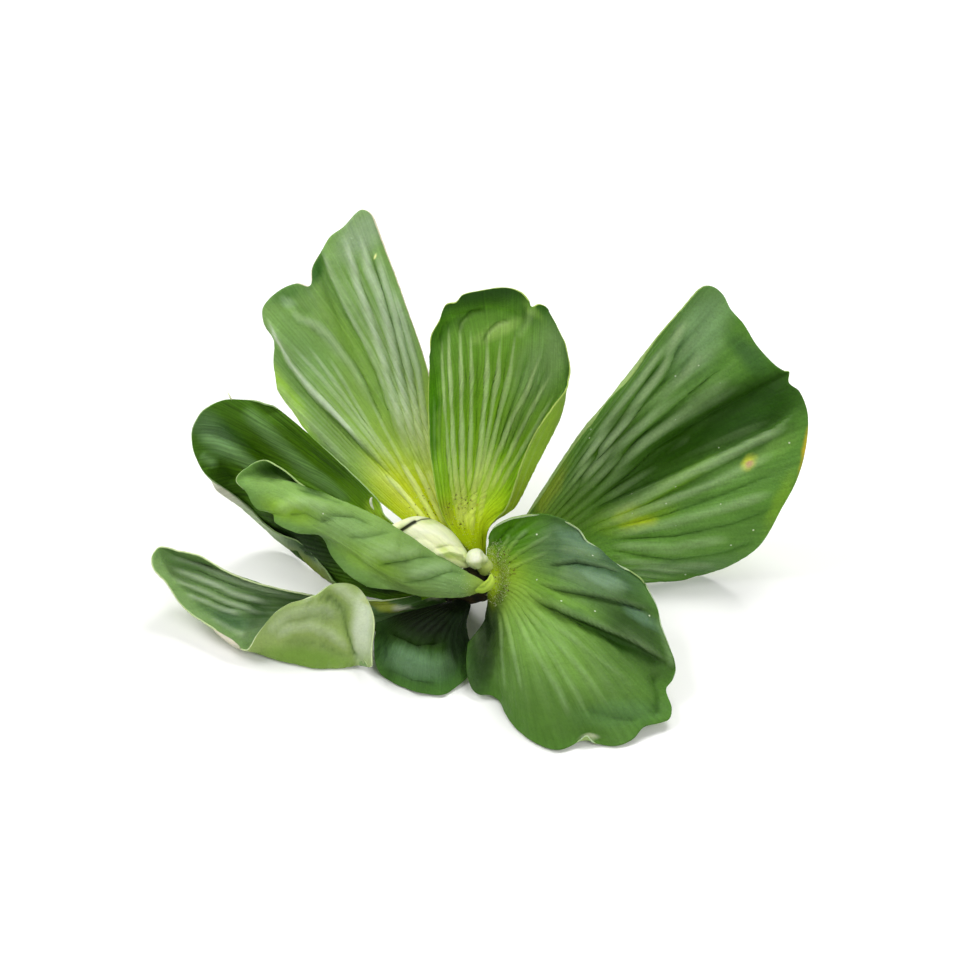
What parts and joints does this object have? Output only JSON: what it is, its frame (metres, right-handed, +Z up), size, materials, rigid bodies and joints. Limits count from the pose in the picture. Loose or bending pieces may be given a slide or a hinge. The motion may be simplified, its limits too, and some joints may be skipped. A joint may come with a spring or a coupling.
{
  "type": "water lettuce",
  "caption": "Floating water plant lying as picked: an open rosette of broad ribbed, cupped and folded leaves round a short stem, with a rolled young leaf and a bud at its heart.",
  "frame": {"origin": "centre of the stem's flat cut end, where the plant stands", "axes": "+Z up from the surface it rests on, -Y towards the side from which the picture was taken, +X to that view's right"},
  "size_m": [0.1981, 0.1307, 0.0999],
  "materials": {
    "leaf_pale": "soft satin, fresh yellow-green with pale ribs",
    "leaf_mid": "velvety mid green",
    "leaf_dark": "satin deep green",
    "young_leaf": "waxy cream",
    "bud": "downy pale green",
    "stem": "matte dark olive brown"
  },
  "bodies": {
    "root": {"stem": "stem", "bud": "bud", "young_leaf": "young_leaf", "leaf_back": "leaf_pale", "leaf_back_left": "leaf_pale", "leaf_right": "leaf_dark", "leaf_left": "leaf_dark", "leaf_front": "leaf_dark", "leaf_front_right": "leaf_mid", "leaf_left_inner": "leaf_mid", "leaf_left_low": "leaf_mid"}
  },
  "joints": []
}
